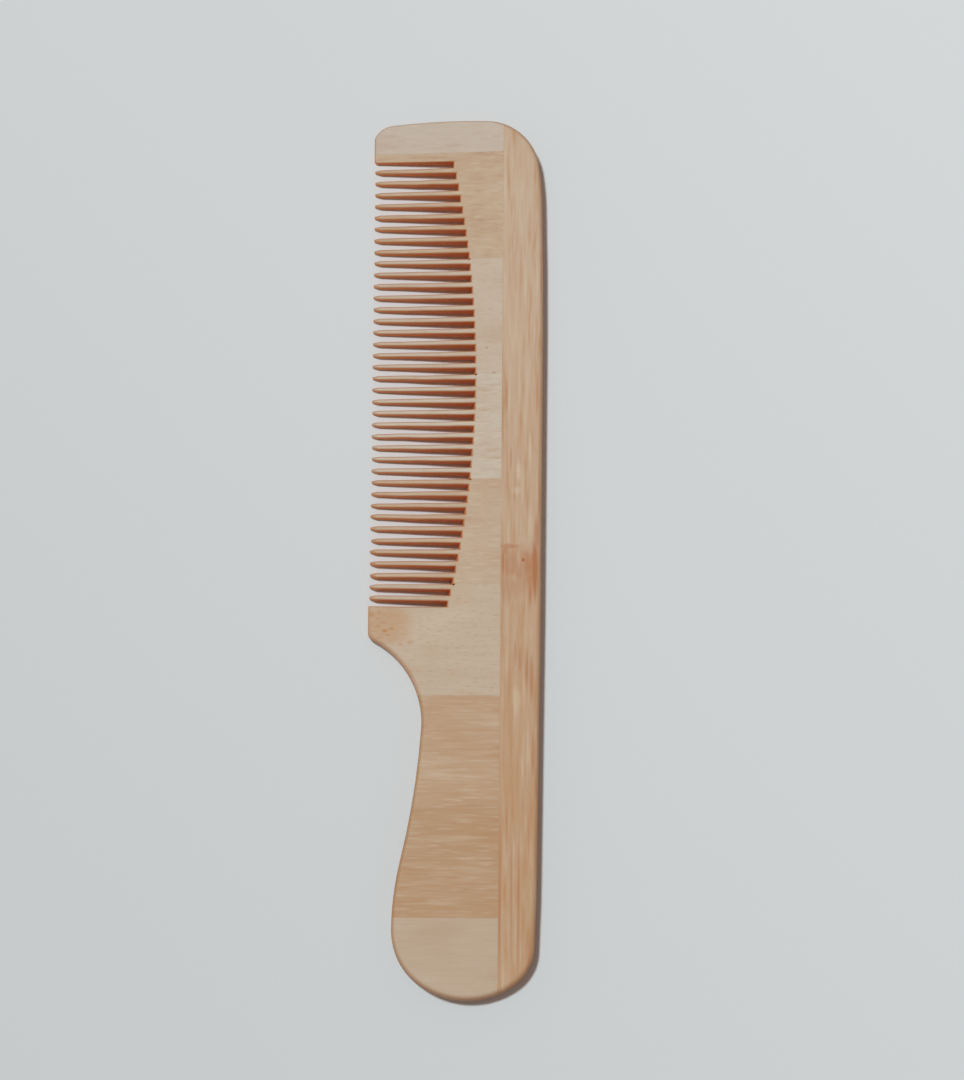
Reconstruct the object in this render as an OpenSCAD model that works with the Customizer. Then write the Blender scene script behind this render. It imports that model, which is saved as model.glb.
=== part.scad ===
// Handled hair comb of laminated bamboo.
// Cross-grain staves are glued edge to edge, and all of them to one full-length spine.
// X runs across the comb with the teeth pointing to -X, Y runs from the handle end to the top,
// and Z points up from the flat underside. The origin is the middle of the underside.

/* [Comb] */
// Length from the handle end to the top, mm
comb_l = 185; // [170:1:200]
// Width across the teeth and the spine, mm
comb_w = 36; // [32:0.5:42]
// Thickness of the spine and the handle, mm
comb_t = 5.8; // [5:0.1:7]

/* [Glued pieces] */
// Distance of the spine's glue line from the middle of the width, mm
spine_x = 9.44; // [8.8:0.02:10]
// Length of the end stave, from the handle end to its glue line, mm
end_stave_l = 16.7; // [15:0.1:18]
// Length of each grip stave along the comb, mm
grip_stave_l = 23; // [22:0.05:24]
// Length of the guard stave, from its glue line to the top, mm
guard_stave_l = 6.9; // [6:0.1:7.5]
// Clearance at each glue line, mm
glue_gap = 0.05; // [0.02:0.01:0.1]

/* [Teeth] */
// Distance from the handle end to the upper end of the row of slots, mm
field_top = 176.2; // [175:0.1:176.8]
// Length of the row of slots, mm
field_l = 94.85; // [90:0.05:96]
// Number of teeth
tooth_count = 38; // [37:1:40]
// Width of a slot at its root, mm
slot_root_w = 1.25; // [1.1:0.05:1.45]
// Width of a slot near the tips, mm
slot_mouth_w = 1.55; // [1.45:0.05:1.75]
// How much higher the mouth of the last slot lies than its root, mm
slot_fan = 0.34; // [0:0.02:0.5]
// How far each side of a tooth closes in at its point, mm
point_inset = 0.25; // [0.1:0.01:0.28]
// Length of a tooth's point, mm
point_l = 1.3; // [0.5:0.1:1.5]
// How far the points stand back from the edge of the guard, mm
point_setback = 0.15; // [0.05:0.05:0.3]

/* [Blade] */
// Thickness of the blade at the tips of the teeth, mm
tip_t = 1.5; // [1.2:0.1:2.5]
// Depth of the hollow that the blade's upper face is ground to, mm
hollow = 0.4; // [0.2:0.1:1.3]
// Radius of the run-out where the blade meets the handle, mm
runout_r = 220; // [180:10:260]
// How far above the lowest slot the run-out starts, mm
runout_lead = 25; // [15:1:30]

/* [Hidden] */

// Scale of the outline's table, which is drawn for a comb of 36 by 185 mm
scale_x = comb_w / 36;
scale_y = comb_l / 185;

// Outline, counter-clockwise from the right of the handle end.
// x is from the middle of the width, y from the handle end, and rise is how far the edge to the
// next point bows out of its chord, negative where it bows in.
OUT_X = 0;
OUT_Y = 1;
OUT_RISE = 2;
outline_rows = [
    [13.1, 3.3, 0.9],
    [17, 10.6, 0.12],
    [17.48, 31.1, 0],
    [17.88, 80, 0],
    [18, 140, 0.1],
    [17.6, 168.1, 0.12],
    [16.9, 175.4, 2.5],
    [6.3, 184.78, 0.4],
    [-13.4, 184.38, 0.12],
    [-15.7, 183.8, 0.15],
    [-17.25, 182.4, 0.1],
    [-17.75, 181.3, 0],
    [-18, 76.2, 0.27],
    [-17, 74.5, -3.09],
    [-6.73, 55.9, -0.58],
    [-10.8, 28.6, 0.39],
    [-12.5, 14.7, 1.03],
    [-8.8, 4.9, 4.12]
];

// Edge of the teeth's guard, from which the points are measured
left_x = -comb_w / 2;
guard_lean = 0.25 * scale_x;

// Root line of the slots, an arc that bows toward the spine
root_apex_x = 3.85 * scale_x;
root_apex_y = 129.7 * scale_y;
root_r = 216;

// Slots are numbered from the guard down. The last one is a little narrower.
last_slot_extra = -0.12;
tooth_pitch = (field_l * scale_y - slot_root_w - last_slot_extra) / tooth_count;
slot_0_y = field_top * scale_y - slot_root_w / 2;
field_bottom = (field_top - field_l) * scale_y;

// Slots whose lower wall lies on a glue line, from the guard down
seam_slots = [8, 18, 27, 36];

// Glue lines across the comb, from the handle end up
end_seam = end_stave_l * scale_y;
grip_seam = end_seam + grip_stave_l * scale_y;
neck_seam = grip_seam + grip_stave_l * scale_y;
guard_seam = comb_l - guard_stave_l;

// Spare length of a cutter past what it cuts
over = 2;
// Largest turn from one flat of an arc to the next, degrees
arc_step = 5;

// Number of flats along the run-out's arc
runout_flats = 8;

// Hollow of the blade, an arc across the comb from the spine's upper edge down to the tips
hollow_chord = [spine_x - left_x, comb_t - tip_t];
hollow_angle = atan(hollow_chord[1] / hollow_chord[0]);
hollow_r = (pow(norm(hollow_chord) / 2, 2) + pow(hollow, 2)) / (2 * hollow);
hollow_sweep = asin(norm(hollow_chord) / (2 * hollow_r));
hollow_centre = [
    (spine_x + left_x) / 2 - (hollow_r - hollow) * sin(hollow_angle),
    (comb_t + tip_t) / 2 + (hollow_r - hollow) * cos(hollow_angle)
];
cutter_h = comb_t + over;

function slot_y(k) = slot_0_y - k * tooth_pitch;
function mouth_y(k) = slot_y(k) + slot_fan * k / tooth_count;
function seam_y(k) = slot_y(k) - slot_root_w / 2;
function root_x(y) = root_apex_x - root_r + sqrt(pow(root_r, 2) - pow(y - root_apex_y, 2));
function guard_x(y) = left_x + guard_lean * (y - field_bottom) / (field_l * scale_y);
function outline_point(i) = [outline_rows[i][OUT_X] * scale_x, outline_rows[i][OUT_Y] * scale_y];

// Points from p up to but not including q, along an arc that bows out of its chord by rise, to the
// right of the way from p to q
function bow_points(p, q, rise) =
    rise == 0 ? [p] :
    let (
        chord = norm(q - p),
        along = (q - p) / chord,
        outward = [along[1], -along[0]],
        half_sweep = 2 * atan(2 * rise / chord),
        radius = chord / (2 * sin(half_sweep)),
        flats = ceil(abs(2 * half_sweep) / arc_step) + 1
    )
    [
        for (i = [0 : flats - 1])
            let (a = half_sweep * (2 * i / flats - 1))
                p + along * (chord / 2 + radius * sin(a)) + outward * radius * (cos(a) - cos(half_sweep))
    ];

function outline_points() = [
    for (i = [0 : len(outline_rows) - 1])
        let (next = (i + 1) % len(outline_rows))
            each bow_points(outline_point(i), outline_point(next), outline_rows[i][OUT_RISE])
];

module outline() {
    polygon(outline_points());
}

// One slot between two teeth, open to the left. The first and last have one straight wall each,
// along the guard's block and the neck's.
module slot(k) {
    y = slot_y(k);
    tip_y = mouth_y(k);
    tip_x = guard_x(y) + point_setback;
    root_up = slot_root_w / 2;
    root_down = root_up + (k == tooth_count ? last_slot_extra : 0);
    mouth_up = k == 0 ? root_up : slot_mouth_w / 2;
    mouth_down = k == tooth_count ? root_down : slot_mouth_w / 2;
    polygon([
        [root_x(y), y + root_up],
        [tip_x + point_l, tip_y + mouth_up],
        [tip_x, tip_y + mouth_up + point_inset],
        [left_x - over, tip_y + mouth_up + point_inset],
        [left_x - over, tip_y - mouth_down - point_inset],
        [tip_x, tip_y - mouth_down - point_inset],
        [tip_x + point_l, tip_y - mouth_down],
        [root_x(y), y - root_down]
    ]);
}

// The tooth under a slot, out to the middles of the slots on both sides of it
module tooth_strip(k) {
    upper_y = slot_y(k);
    lower_y = slot_y(k + 1);
    upper_x = root_x(upper_y) - glue_gap;
    polygon([
        [root_x(lower_y), lower_y],
        [upper_x, seam_y(k)],
        [upper_x, upper_y],
        [left_x - over, mouth_y(k)],
        [left_x - over, mouth_y(k + 1)]
    ]);
}

// What keeps the points back from the edge of the guard, between its block and the neck's
module setback_strip() {
    last_y = mouth_y(tooth_count);
    polygon([
        [left_x - over, last_y],
        [guard_x(last_y) + point_setback, last_y],
        [guard_x(slot_0_y) + point_setback, slot_0_y],
        [left_x - over, slot_0_y]
    ]);
}

// Run-out of the blade, seen along X and measured from one flat of the hollow: it rises toward the
// handle in short flats along an arc
module runout_profile() {
    top = comb_l + over;
    tall = 3 * cutter_h;
    start = field_bottom + runout_lead;
    runout_end = acos(1 - cutter_h / runout_r);
    runout_points = [
        for (i = [0 : runout_flats])
            let (a = runout_end * i / runout_flats)
                [start - runout_r * sin(a), runout_r * (1 - cos(a))]
    ];
    low_end = start - runout_r * sin(runout_end);
    polygon(concat([[low_end, tall], [top, tall], [top, 0]], runout_points));
}

// All that lies over one flat of the hollow. The place of the flat runs from -1 at the tips to 1 at
// the spine.
module over_flat(place) {
    a = hollow_angle + place * hollow_sweep;
    reach = comb_w + over;
    translate([hollow_centre[0] + hollow_r * sin(a), 0, hollow_centre[1] - hollow_r * cos(a)])
        rotate([0, -a, 0])
            translate([-reach, 0, 0])
                rotate([90, 0, 90])
                    linear_extrude(height = 2 * reach)
                        runout_profile();
}

module blade_cutter() {
    intersection() {
        over_flat(-1);
        over_flat(-1 / 3);
        over_flat(1 / 3);
        over_flat(1);
    }
}

// The stave between two glue lines, with the slots from first to last cut in it. The glue lines end
// in slots, so its highest tooth follows the slot over it, and the next stave's tooth is kept out.
module stave(low_y, high_y, first = 0, last = -1) {
    translate([0, -comb_l / 2, 0])
        difference() {
            linear_extrude(height = comb_t)
                difference() {
                    intersection() {
                        outline();
                        union() {
                            translate([left_x - over, low_y + glue_gap / 2])
                                square([spine_x - left_x + over - glue_gap / 2, high_y - low_y - glue_gap]);
                            if (first > 0) {
                                tooth_strip(first - 1);
                            }
                        }
                    }
                    for (k = [max(0, first - 1) : 1 : last]) {
                        slot(k);
                    }
                    if (last >= first && last < tooth_count) {
                        tooth_strip(last);
                    }
                    if (last >= first) {
                        setback_strip();
                    }
                }
            if (high_y > neck_seam + over) {
                blade_cutter();
            }
        }
}

module spine() {
    color("#BFA287")
        translate([0, -comb_l / 2, 0])
            linear_extrude(height = comb_t)
                intersection() {
                    outline();
                    translate([spine_x + glue_gap / 2, -over]) square([comb_w, comb_l + 2 * over]);
                }
}

module guard_stave() {
    color("#BFB2A2") stave(guard_seam, comb_l + over);
}

module tooth_stave_1() {
    color("#BCA288") stave(seam_y(seam_slots[0]), guard_seam, 0, seam_slots[0]);
}

module tooth_stave_2() {
    color("#BFAE9A") stave(seam_y(seam_slots[1]), seam_y(seam_slots[0]), seam_slots[0] + 1, seam_slots[1]);
}

module tooth_stave_3() {
    color("#C0B2A0") stave(seam_y(seam_slots[2]), seam_y(seam_slots[1]), seam_slots[1] + 1, seam_slots[2]);
}

module tooth_stave_4() {
    color("#BDA58D") stave(seam_y(seam_slots[3]), seam_y(seam_slots[2]), seam_slots[2] + 1, seam_slots[3]);
}

module neck_stave() {
    color("#BDAA96") stave(neck_seam, seam_y(seam_slots[3]), seam_slots[3] + 1, tooth_count);
}

module grip_stave_1() {
    color("#B89B7E") stave(grip_seam, neck_seam);
}

module grip_stave_2() {
    color("#B69676") stave(end_seam, grip_seam);
}

module end_stave() {
    color("#B9A48E") stave(-over, end_seam);
}

spine();
guard_stave();
tooth_stave_1();
tooth_stave_2();
tooth_stave_3();
tooth_stave_4();
neck_stave();
grip_stave_1();
grip_stave_2();
end_stave();
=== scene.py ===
"""Looks of a one-handed bamboo comb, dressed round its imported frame.

X runs across the comb with the teeth pointing to -X, Y from the handle end to the top, and Z up
from the flat underside. Pieces are shaped in millimetres, with y counted from the handle end, and
are finished in metres in the frame of the solids.
"""

import functools
import logging
import math
import random
from collections.abc import Callable, Iterator
from dataclasses import dataclass, field
from enum import Enum

import bmesh
import bpy
from mathutils import Matrix, Vector


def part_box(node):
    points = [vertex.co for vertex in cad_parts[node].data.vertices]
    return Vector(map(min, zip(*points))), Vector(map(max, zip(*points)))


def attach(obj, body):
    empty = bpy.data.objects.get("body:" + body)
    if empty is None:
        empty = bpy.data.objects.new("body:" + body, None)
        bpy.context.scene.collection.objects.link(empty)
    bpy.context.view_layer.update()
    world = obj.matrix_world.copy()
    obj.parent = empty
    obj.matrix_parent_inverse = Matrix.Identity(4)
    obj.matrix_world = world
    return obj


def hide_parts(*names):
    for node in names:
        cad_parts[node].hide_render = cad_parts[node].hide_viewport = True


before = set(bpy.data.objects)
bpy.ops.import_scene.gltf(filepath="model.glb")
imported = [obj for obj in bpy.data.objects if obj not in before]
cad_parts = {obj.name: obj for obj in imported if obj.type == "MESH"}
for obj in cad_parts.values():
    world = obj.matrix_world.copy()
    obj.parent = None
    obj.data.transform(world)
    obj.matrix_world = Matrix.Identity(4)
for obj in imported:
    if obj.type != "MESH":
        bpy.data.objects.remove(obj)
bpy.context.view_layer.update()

LOG = logging.getLogger("comb")
MM = 0.001
# Distances in millimetres that are too small to count
CUT_TOLERANCE = 1e-5
SAME_POINT = 1e-4
MEETING_POINT = 1e-3
JUST_PAST = 0.01
ROUND_PROFILE = 0.5
TOOTH_SEED = 38
UP = Vector((0, 0, 1))
Form, Tree, Socket = bmesh.types.BMesh, bpy.types.NodeTree, bpy.types.NodeSocket
Vert, Edge, Face = bmesh.types.BMVert, bmesh.types.BMEdge, bmesh.types.BMFace
Sockets = dict[str, Socket]
Colour = Triple = tuple[float, float, float]
Pair = tuple[float, float]


@functools.cache
def solid_box(node: str) -> tuple[Vector, Vector]:
    """Lowest and highest corner of one of the solids, in metres."""
    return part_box(node)


class Grain(Enum):
    """Which way the fibres of a strip run."""

    ACROSS = "across the comb"
    ALONG = "along the comb"


class Axis(Enum):
    """The two ways that glue lines are placed along, each with its direction."""

    X = (1, 0, 0)
    Y = (0, 1, 0)

    @property
    def way(self) -> Vector:
        """The direction as a vector."""
        return Vector(self.value)


class Interval(Enum):
    """What lies to the left of one stretch of the line of tooth roots."""

    TOOTH = "tooth"
    SLOT = "slot"
    BLOCK = "block"


@dataclass(frozen=True)
class Bow:
    """One side of the comb's outline, from its first point to the next side's.

    x is from the middle of the width and y from the handle end. rise is how far the side bows out
    of its chord, negative where it bows in.
    """

    x: float
    y: float
    rise: float

    def point(self) -> Vector:
        """The side's first point."""
        return Vector((self.x, self.y, 0))


OUTLINE = (
    Bow(13.1, 3.3, 0.9),
    Bow(17.0, 10.6, 0.12),
    Bow(17.48, 31.1, 0.0),
    Bow(17.88, 80.0, 0.0),
    Bow(18.0, 140.0, 0.1),
    Bow(17.6, 168.1, 0.12),
    Bow(16.9, 175.4, 2.5),
    Bow(6.3, 184.78, 0.4),
    Bow(-13.4, 184.38, 0.12),
    Bow(-15.7, 183.8, 0.15),
    Bow(-17.25, 182.4, 0.1),
    Bow(-17.75, 181.3, 0.0),
    Bow(-18.0, 76.2, 0.27),
    Bow(-17.0, 74.5, -3.09),
    Bow(-6.73, 55.9, -0.58),
    Bow(-10.8, 28.6, 0.39),
    Bow(-12.5, 14.7, 1.03),
    Bow(-8.8, 4.9, 4.12),
)


def arc_of(start: Vector, end: Vector, rise: float) -> tuple[Vector, float, float]:
    """Works out the arc that bows out to the right of the way between two points.

    Args:
        start: The arc's first point.
        end: Its last point.
        rise: How far it bows out of its chord.

    Returns:
        The arc's centre, its radius and its turn.
    """
    chord = end - start
    turn = 4 * math.atan(2 * rise / chord.length)
    radius = chord.length / (2 * math.sin(turn / 2))
    outward = chord.cross(UP).normalized()
    return (start + end) / 2 - outward * radius * math.cos(turn / 2), radius, turn


def slice_mesh(bm: Form, point: Vector, across: Vector, faces: list[Face] | None = None,
               clear: bool = False) -> list:
    """Cuts a mesh along a plane.

    Args:
        bm: The mesh.
        point: A point of the plane.
        across: Direction square to the plane.
        faces: The faces to cut, or None for the whole mesh.
        clear: Whether what lies behind the plane is taken away.

    Returns:
        The vertices and edges that lie in the plane.
    """
    geom = bm.verts[:] + bm.edges[:] + bm.faces[:]
    if faces is not None:
        verts = {vert for face in faces for vert in face.verts}
        edges = {edge for face in faces for edge in face.edges}
        geom = [*verts, *edges, *faces]
    return bmesh.ops.bisect_plane(
        bm, geom=geom, dist=CUT_TOLERANCE, plane_co=point, plane_no=across,
        clear_inner=clear)["geom_cut"]


def made(kind: type, grown: list) -> list:
    """Picks what is of one kind out of what a bmesh operator made."""
    return [item for item in grown if isinstance(item, kind)]


def steps(start: float, end: float, step: float) -> Iterator[float]:
    """Gives places a step apart, from one step after the start to before the end.

    Args:
        start: Where they start.
        end: Where they end.
        step: Way from one to the next, negative to go down.

    Returns:
        The places in turn.
    """
    place = start + step
    while (end - place) * step > 0:
        yield place
        place += step


def within(value: float, low: float = 0.0, high: float = 1.0) -> float:
    """Keeps a value between two limits."""
    return min(high, max(low, value))


def add_object(name: str, data: bpy.types.ID) -> bpy.types.Object:
    """Puts an object with its data into the scene.

    Args:
        name: Name of the object.
        data: Its data.

    Returns:
        The object.
    """
    obj = bpy.data.objects.new(name, data)
    bpy.context.scene.collection.objects.link(obj)
    return obj


@dataclass(frozen=True)
class CombShape:
    """Sizes of the comb in millimetres, and the surfaces that follow from them."""

    length: float = 185.0
    half_width: float = 18.0
    thickness: float = 5.8
    field_top: float = 176.2
    field_length: float = 94.85
    tooth_count: int = 38
    root_slot: float = 1.25
    mouth_slot: float = 1.55
    slot_fan: float = 0.34
    last_slot_extra: float = -0.12
    glue_gap: float = 0.05
    fan_fade: float = 4.0
    point_length: float = 1.3
    point_setback: float = 0.15
    guard_lean: float = 0.25
    tip_thickness: float = 1.5
    hollow: float = 0.4
    runout_radius: float = 220.0
    runout_lead: float = 25.0
    runout_softness: float = 0.35
    root_apex_x: float = 3.85
    root_apex_y: float = 129.7
    root_radius: float = 216.0
    edge_round: float = 1.1
    thin_edge_share: float = 0.3

    @property
    def seam_x(self) -> float:
        """Glue line between the spine and the staves."""
        return solid_box("spine")[0].x / MM

    @property
    def left_x(self) -> float:
        """Left edge of the comb's box."""
        return -self.half_width

    @property
    def field_bottom(self) -> float:
        """Lower end of the row of slots."""
        return self.field_top - self.field_length

    @property
    def pitch(self) -> float:
        """Distance from tooth to tooth."""
        return (self.field_length - self.root_slot - self.last_slot_extra) / self.tooth_count

    def slot_y(self, k: int) -> float:
        """Middle of slot k, counted from the guard down."""
        return self.field_top - self.root_slot / 2 - k * self.pitch

    def wall_y(self, k: int, side: int = -1) -> float:
        """Lower wall of slot k at its root, or its upper one."""
        return self.slot_y(k) + side * self.root_slot / 2

    def root_x(self, y: float) -> float:
        """Where a slot at height y ends, on an arc that bows toward the spine."""
        reach = math.sqrt(self.root_radius ** 2 - (y - self.root_apex_y) ** 2)
        return self.root_apex_x - self.root_radius + reach

    def fan_shift(self, x: float, y: float) -> float:
        """How far the fan of the slots lifts a point, most at the tips of the last teeth.

        Args:
            x: Place across the comb.
            y: Place along the comb, from the handle end.

        Returns:
            The lift.
        """
        depth = (self.root_x(y) - x) / (self.root_x(y) - self.left_x)
        along = (self.slot_y(0) - y) / (self.tooth_count * self.pitch)
        fade = 1 - (self.field_bottom - y) / self.fan_fade
        return self.slot_fan * max(0.0, depth) * within(along) * within(fade)

    def guard_x(self, y: float) -> float:
        """Left edge of the guard and the neck's block, which leans a little."""
        return self.left_x + self.guard_lean * (y - self.field_bottom) / self.field_length

    def blade_z(self, x: float) -> float:
        """Height of the blade's hollow face, an arc from the spine's edge down to the tips.

        Args:
            x: Place across the comb.

        Returns:
            The height over the underside.
        """
        reach, drop = self.seam_x + self.half_width, self.thickness - self.tip_thickness
        chord = math.hypot(reach, drop)
        radius = (chord ** 2 / 4 + self.hollow ** 2) / (2 * self.hollow)
        away = radius - self.hollow
        centre_x = (self.seam_x - self.half_width) / 2 - away * drop / chord
        centre_z = (self.thickness + self.tip_thickness) / 2 + away * reach / chord
        if x >= self.seam_x:
            return self.thickness
        return centre_z - math.sqrt(radius ** 2 - (x - centre_x) ** 2)

    def upper_z(self, x: float, y: float) -> float:
        """Height of the upper face, which is hollowed to the tips and rises again out of the neck.

        Args:
            x: Place across the comb.
            y: Place along the comb, from the handle end.

        Returns:
            The height over the underside.
        """
        drop = self.thickness - self.blade_z(x)
        below = max(0.0, self.field_bottom + self.runout_lead - y)
        if below >= self.runout_radius:
            return self.thickness
        rise = self.runout_radius - math.sqrt(self.runout_radius ** 2 - below ** 2)
        soft = min(self.runout_softness, rise / 2)
        left = drop - rise
        return self.thickness - (left + math.hypot(left, soft)) / 2


class Draft:
    """A flat drawing of a piece in millimetres, which is then raised, rounded and shaped."""

    arc_step: float = math.radians(3.0)

    def __init__(self) -> None:
        """Starts with an empty drawing."""
        self.bm = bmesh.new()

    def draw_to(self, tip: Vert, end: Vector, rise: float = 0.0) -> Vert:
        """Draws a straight line or an arc from a vertex.

        Args:
            tip: Vertex that the line starts from.
            end: Where it ends.
            rise: How far it bows out to the right of its way.

        Returns:
            The vertex at its end.
        """
        if rise == 0.0:
            drawn = bmesh.ops.extrude_vert_indiv(self.bm, verts=[tip])["verts"][0]
        else:
            centre, _, turn = arc_of(tip.co, end, rise)
            steps = math.ceil(abs(turn) / self.arc_step) + 1
            drawn = bmesh.ops.spin(
                self.bm, geom=[tip], cent=centre, axis=UP, angle=turn, steps=steps)["geom_last"][0]
        drawn.co = end
        return drawn

    def draw_outline(self) -> None:
        """Draws the whole comb's outline as one face."""
        points = [bow.point() for bow in OUTLINE]
        tip = bmesh.ops.create_vert(self.bm, co=points[0])["vert"][0]
        for bow, end in zip(OUTLINE, points[1:] + points[:1]):
            tip = self.draw_to(tip, end, bow.rise)
        self.merge(SAME_POINT)
        bmesh.ops.contextual_create(self.bm, geom=self.bm.edges[:])

    def trim(self, point: Vector, inward: Vector) -> None:
        """Cuts away what lies behind a line through a point."""
        slice_mesh(self.bm, point, inward, clear=True)

    def rule_below(self, top: float, x: float) -> None:
        """Divides the faces below a height along a line at x."""
        low = [f for f in self.bm.faces if max(v.co.y for v in f.verts) < top + MEETING_POINT]
        slice_mesh(self.bm, Axis.X.way * x, Axis.X.way, low)

    def merge(self, reach: float = MEETING_POINT) -> None:
        """Joins what meets."""
        bmesh.ops.remove_doubles(self.bm, verts=self.bm.verts[:], dist=reach)

    def widen(self, edges: list[Edge], collar: float, x: float) -> None:
        """Extrudes edges sideways, first by a collar and then to a line along the comb.

        Args:
            edges: The edges.
            collar: Width of the first strip.
            x: Where the line lies.
        """
        for step in (collar, None):
            grown = bmesh.ops.extrude_edge_only(self.bm, edges=edges)["geom"]
            ends = set(made(Vert, grown))
            for vert in ends:
                vert.co.x = x if step is None else vert.co.x + step
            edges = [
                edge for edge in made(Edge, grown)
                if edge.is_boundary and ends.issuperset(edge.verts)]

    def stretch(self, edge: Edge, x: float, middle: float, width: float) -> Edge:
        """Extrudes one end of a tooth to its next section.

        Args:
            edge: The tooth's end so far.
            x: Where the next section lies.
            middle: The section's middle, along the comb.
            width: The section's width.

        Returns:
            The tooth's new end.
        """
        grown = bmesh.ops.extrude_edge_only(self.bm, edges=[edge])["geom"]
        verts = sorted(made(Vert, grown), key=lambda v: v.co.y)
        verts[0].co = Vector((x, middle - width / 2, 0))
        verts[1].co = Vector((x, middle + width / 2, 0))
        return next(e for e in made(Edge, grown) if set(e.verts) == set(verts))

    def open_corners(self, corners: list[Vector]) -> None:
        """Joins the faces that meet at corners, so that the rims are mitred there.

        Args:
            corners: Places of the corners.
        """
        held = {
            vert for vert in self.bm.verts
            if any((vert.co - corner).length < MEETING_POINT for corner in corners)}
        inner = [
            edge for edge in self.bm.edges
            if len(edge.link_faces) == 2 and not held.isdisjoint(edge.verts)]
        bmesh.ops.dissolve_edges(self.bm, edges=inner, use_verts=False)

    def raise_to(self, height: float) -> None:
        """Raises the drawing into a solid whose faces point outwards.

        Args:
            height: Height of the solid.
        """
        bmesh.ops.dissolve_degenerate(self.bm, dist=SAME_POINT, edges=self.bm.edges[:])
        grown = bmesh.ops.extrude_face_region(self.bm, geom=self.bm.faces[:])["geom"]
        bmesh.ops.translate(self.bm, verts=made(Vert, grown), vec=UP * height)
        bmesh.ops.recalc_face_normals(self.bm, faces=self.bm.faces[:])


@dataclass(frozen=True)
class Seam:
    """A glue line square to an axis, with the side that the piece lies on."""

    axis: Axis
    place: float
    side: int
    reach: float = 0.002

    def meets(self, vert: Vert) -> bool:
        """Whether a vertex lies in the glue line."""
        return abs(vert.co.dot(self.axis.way) - self.place) < self.reach

    def point(self, margin: float = 0.0) -> Vector:
        """A point of the line, or of one that far beyond it."""
        return self.axis.way * (self.place - self.side * margin)

    def inward(self) -> Vector:
        """Direction from the line into the piece."""
        return self.axis.way * self.side


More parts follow.
